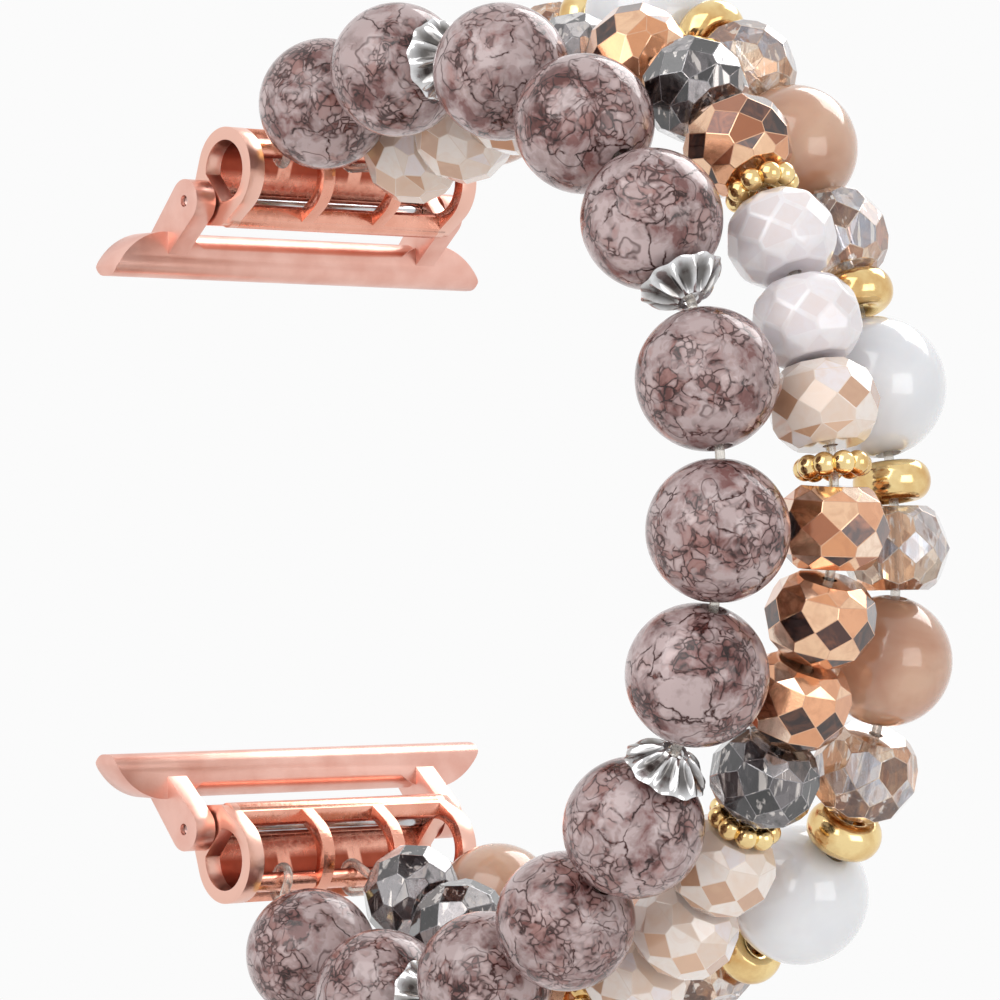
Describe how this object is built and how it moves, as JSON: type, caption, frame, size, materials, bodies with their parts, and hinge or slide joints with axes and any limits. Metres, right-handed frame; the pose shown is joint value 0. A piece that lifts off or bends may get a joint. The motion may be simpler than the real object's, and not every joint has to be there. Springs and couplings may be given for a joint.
{
  "type": "bead watch band",
  "caption": "Elastic watch band with three strands of round, faceted and spacer beads between two hinged metal connectors whose lugs slide into a watch case.",
  "frame": {"origin": "midway between the centres of the two lug tongues, where the middle of the watch case sits", "axes": "+Z towards twelve o'clock, +X from the watch to the far side of the wrist, +Y along the forearm, away from the crackle beads"},
  "size_m": [0.068, 0.036, 0.0834],
  "materials": {
    "lug_rose_gold": "satin rose gold plate",
    "frame_rose_gold": "bright rose gold plate on a rough casting",
    "bar_steel": "bright turned steel",
    "clear_elastic": "clear glossy elastic",
    "gold_plate": "polished gold plate",
    "silver_plate": "antiqued silver plate",
    "crackle_glass": "smoky mauve crackle glass, polished",
    "peach_glass": "peach glass, polished",
    "white_glass": "opaque white glass, polished",
    "ivory_glass": "faceted ivory glass with a pearl coat",
    "copper_glass": "faceted glass with a copper mirror coat",
    "smoke_crystal": "faceted smoke crystal",
    "milky_glass": "faceted milky glass",
    "champagne_crystal": "faceted clear crystal, half coated in champagne"
  },
  "bodies": {
    "upper_lug_and_bar": {"upper_lug": "lug_rose_gold", "upper_bar_tube": "bar_steel", "upper_bar_spring": "bar_steel"},
    "upper_tip_near": {"upper_bar_tip_near": "bar_steel"},
    "upper_tip_far": {"upper_bar_tip_far": "bar_steel"},
    "upper_frame": {"upper_connector_frame": "frame_rose_gold"},
    "upper_beads": {"near_elastic_cord": "clear_elastic", "middle_elastic_cord": "clear_elastic", "far_elastic_cord": "clear_elastic", "upper_crimps": "gold_plate", "silver_caps_upper": "silver_plate", "ivory_beads_upper": "ivory_glass", "copper_beads_upper": "copper_glass", "smoke_beads_upper": "smoke_crystal", "milky_beads_upper": "milky_glass", "daisy_spacers_upper": "gold_plate", "far_crystals_upper": "champagne_crystal", "gold_rondelles_upper": "gold_plate"},
    "mid_upper_beads": {"milky_beads_mid_upper": "milky_glass", "ivory_beads_mid_upper": "ivory_glass"},
    "mid_lower_beads": {"daisy_spacers_mid_lower": "gold_plate", "copper_beads_mid_lower": "copper_glass", "gold_rondelles_mid_lower": "gold_plate", "far_crystals_mid_lower": "champagne_crystal"},
    "lower_beads": {"lower_crimps": "gold_plate", "silver_caps_lower": "silver_plate", "ivory_beads_lower": "ivory_glass", "copper_beads_lower": "copper_glass", "smoke_beads_lower": "smoke_crystal", "daisy_spacers_lower": "gold_plate", "far_crystals_lower": "champagne_crystal", "gold_rondelles_lower": "gold_plate"},
    "lower_frame": {"lower_connector_frame": "frame_rose_gold"},
    "lower_lug_and_bar": {"lower_lug": "lug_rose_gold", "lower_bar_tube": "bar_steel", "lower_bar_spring": "bar_steel"},
    "lower_tip_near": {"lower_bar_tip_near": "bar_steel"},
    "lower_tip_far": {"lower_bar_tip_far": "bar_steel"},
    "near_bead_01_turning": {"near_bead_01": "crackle_glass"},
    "near_bead_02_turning": {"near_bead_02": "crackle_glass"},
    "near_bead_03_turning": {"near_bead_03": "crackle_glass"},
    "near_bead_04_turning": {"near_bead_04": "crackle_glass"},
    "near_bead_05_turning": {"near_bead_05": "crackle_glass"},
    "near_bead_06_turning": {"near_bead_06": "crackle_glass"},
    "near_bead_07_turning": {"near_bead_07": "crackle_glass"},
    "near_bead_08_turning": {"near_bead_08": "crackle_glass"},
    "near_bead_09_turning": {"near_bead_09": "crackle_glass"},
    "near_bead_10_turning": {"near_bead_10": "crackle_glass"},
    "near_bead_11_turning": {"near_bead_11": "crackle_glass"},
    "near_bead_12_turning": {"near_bead_12": "crackle_glass"},
    "near_bead_13_turning": {"near_bead_13": "crackle_glass"},
    "peach_bead_01_turning": {"peach_bead_01": "peach_glass"},
    "white_bead_01_turning": {"white_bead_01": "white_glass"},
    "peach_bead_02_turning": {"peach_bead_02": "peach_glass"},
    "white_bead_02_turning": {"white_bead_02": "white_glass"},
    "peach_bead_03_turning": {"peach_bead_03": "peach_glass"},
    "white_bead_03_turning": {"white_bead_03": "white_glass"},
    "peach_bead_04_turning": {"peach_bead_04": "peach_glass"},
    "peach_bead_05_turning": {"peach_bead_05": "peach_glass"}
  },
  "joints": [
    {"name": "connector_swing_upper", "type": "hinge", "parent": "upper_lug_and_bar", "child": "upper_frame", "pos_m": [0.0036, 0, 0.0243], "axis": [0, 1, 0], "range_deg": [-60, 25]},
    {"name": "band_swing_upper", "type": "hinge", "parent": "upper_frame", "child": "upper_beads", "pos_m": [0.00787, 0, 0.02837], "axis": [0, 1, 0], "range_deg": [-20, 20]},
    {"name": "band_flex_upper", "type": "hinge", "parent": "upper_beads", "child": "mid_upper_beads", "pos_m": [0.05775, 0, 0.01497], "axis": [0, 1, 0], "range_deg": [-7, 7], "deforming": ["near_elastic_cord", "middle_elastic_cord", "far_elastic_cord"]},
    {"name": "band_stretch", "type": "slide", "parent": "mid_upper_beads", "child": "mid_lower_beads", "axis": [0.1851, 0, -0.9827], "range_m": [0, 0.012], "stiffness_N_per_m": 900, "deforming": ["near_elastic_cord", "middle_elastic_cord", "far_elastic_cord"]},
    {"name": "band_flex_lower", "type": "hinge", "parent": "mid_lower_beads", "child": "lower_beads", "pos_m": [0.05729, 0, -0.01586], "axis": [0, 1, 0], "range_deg": [-7, 7], "deforming": ["near_elastic_cord", "middle_elastic_cord", "far_elastic_cord"]},
    {"name": "band_swing_lower", "type": "hinge", "parent": "lower_beads", "child": "lower_frame", "pos_m": [0.00787, 0, -0.02837], "axis": [0, 1, 0], "range_deg": [-20, 20], "deforming": ["near_elastic_cord", "middle_elastic_cord", "far_elastic_cord"]},
    {"name": "connector_swing_lower", "type": "hinge", "parent": "lower_frame", "child": "lower_lug_and_bar", "pos_m": [0.0036, 0, -0.0243], "axis": [0, 1, 0], "range_deg": [-60, 25]},
    {"name": "tip_press_upper_near", "type": "slide", "parent": "upper_lug_and_bar", "child": "upper_tip_near", "axis": [0, 1, 0], "range_m": [0, 0.0016], "stiffness_N_per_m": 600, "springref_m": -0.002, "deforming": ["upper_bar_spring"]},
    {"name": "tip_press_upper_far", "type": "slide", "parent": "upper_lug_and_bar", "child": "upper_tip_far", "axis": [0, -1, 0], "range_m": [0, 0.0016], "stiffness_N_per_m": 600, "springref_m": -0.002, "deforming": ["upper_bar_spring"]},
    {"name": "tip_press_lower_near", "type": "slide", "parent": "lower_lug_and_bar", "child": "lower_tip_near", "axis": [0, 1, 0], "range_m": [0, 0.0016], "stiffness_N_per_m": 600, "springref_m": -0.002, "deforming": ["lower_bar_spring"]},
    {"name": "tip_press_lower_far", "type": "slide", "parent": "lower_lug_and_bar", "child": "lower_tip_far", "axis": [0, -1, 0], "range_m": [0, 0.0016], "stiffness_N_per_m": 600, "springref_m": -0.002, "deforming": ["lower_bar_spring"]},
    {"name": "spin_near_bead_01", "type": "hinge", "parent": "upper_beads", "child": "near_bead_01_turning", "pos_m": [0.01554, -0.00866, 0.03125], "axis": [0.9438, -0.1477, 0.2955], "continuous": true},
    {"name": "spin_near_bead_02", "type": "hinge", "parent": "upper_beads", "child": "near_bead_02_turning", "pos_m": [0.02554, -0.00951, 0.03303], "axis": [0.9986, -0.016, 0.0507], "continuous": true},
    {"name": "spin_near_bead_03", "type": "hinge", "parent": "upper_beads", "child": "near_bead_03_turning", "pos_m": [0.03785, -0.0096, 0.03195], "axis": [0.9597, 0.0041, -0.2811], "continuous": true},
    {"name": "spin_near_bead_04", "type": "hinge", "parent": "upper_beads", "child": "near_bead_04_turning", "pos_m": [0.04704, -0.00959, 0.02757], "axis": [0.8222, -0.0024, -0.5693], "continuous": true},
    {"name": "spin_near_bead_05", "type": "hinge", "parent": "upper_beads", "child": "near_bead_05_turning", "pos_m": [0.05428, -0.0096, 0.02041], "axis": [0.5788, 0.0006, -0.8154], "continuous": true},
    {"name": "spin_near_bead_06", "type": "hinge", "parent": "mid_upper_beads", "child": "near_bead_06_turning", "pos_m": [0.06004, -0.0096, 0.00915], "axis": [0.2652, 0, -0.9642], "continuous": true},
    {"name": "spin_near_bead_07", "type": "hinge", "parent": "mid_lower_beads", "child": "near_bead_07_turning", "pos_m": [0.06115, -0.0096, -0.00127], "axis": [-0.0574, 0.0002, -0.9984], "continuous": true},
    {"name": "spin_near_bead_08", "type": "hinge", "parent": "mid_lower_beads", "child": "near_bead_08_turning", "pos_m": [0.059, -0.0096, -0.01122], "axis": [-0.3604, -0.0002, -0.9328], "continuous": true},
    {"name": "spin_near_bead_09", "type": "hinge", "parent": "lower_beads", "child": "near_bead_09_turning", "pos_m": [0.05237, -0.00961, -0.02201], "axis": [-0.6277, -0.0009, -0.7784], "continuous": true},
    {"name": "spin_near_bead_10", "type": "hinge", "parent": "lower_beads", "child": "near_bead_10_turning", "pos_m": [0.04496, -0.00959, -0.029], "axis": [-0.8138, 0.0045, -0.5812], "continuous": true},
    {"name": "spin_near_bead_11", "type": "hinge", "parent": "lower_beads", "child": "near_bead_11_turning", "pos_m": [0.03599, -0.00959, -0.03383], "axis": [-0.9335, -0.0052, -0.3584], "continuous": true},
    {"name": "spin_near_bead_12", "type": "hinge", "parent": "lower_beads", "child": "near_bead_12_turning", "pos_m": [0.0238, -0.0096, -0.03588], "axis": [-0.9996, 0.0019, -0.0279], "continuous": true},
    {"name": "spin_near_bead_13", "type": "hinge", "parent": "lower_beads", "child": "near_bead_13_turning", "pos_m": [0.01408, -0.00875, -0.03346], "axis": [-0.8557, 0.1605, 0.4919], "continuous": true},
    {"name": "spin_peach_bead_01", "type": "hinge", "parent": "upper_beads", "child": "peach_bead_01_turning", "pos_m": [0.01458, 0.00858, 0.03213], "axis": [0.8539, 0.1187, 0.5068], "continuous": true},
    {"name": "spin_white_bead_01", "type": "hinge", "parent": "upper_beads", "child": "white_bead_01_turning", "pos_m": [0.03295, 0.00909, 0.03742], "axis": [0.988, 0.002, -0.1545], "continuous": true},
    {"name": "spin_peach_bead_02", "type": "hinge", "parent": "upper_beads", "child": "peach_bead_02_turning", "pos_m": [0.04871, 0.0091, 0.02664], "axis": [0.6013, 0.0002, -0.799], "continuous": true},
    {"name": "spin_white_bead_02", "type": "hinge", "parent": "mid_upper_beads", "child": "white_bead_02_turning", "pos_m": [0.05724, 0.0091, 0.00902], "axis": [0.2678, 0, -0.9635], "continuous": true},
    {"name": "spin_peach_bead_03", "type": "hinge", "parent": "mid_lower_beads", "child": "peach_bead_03_turning", "pos_m": [0.05841, 0.0091, -0.01055], "axis": [-0.1913, 0, -0.9815], "continuous": true},
    {"name": "spin_white_bead_03", "type": "hinge", "parent": "lower_beads", "child": "white_bead_03_turning", "pos_m": [0.04924, 0.0091, -0.02779], "axis": [-0.7443, 0.0005, -0.6679], "continuous": true},
    {"name": "spin_peach_bead_04", "type": "hinge", "parent": "lower_beads", "child": "peach_bead_04_turning", "pos_m": [0.03097, 0.0091, -0.03355], "axis": [-0.9981, 0.0044, 0.0609], "continuous": true},
    {"name": "spin_peach_bead_05", "type": "hinge", "parent": "lower_beads", "child": "peach_bead_05_turning", "pos_m": [0.0153, 0.00861, -0.03035], "axis": [-0.9527, -0.1255, 0.2769], "continuous": true}
  ]
}
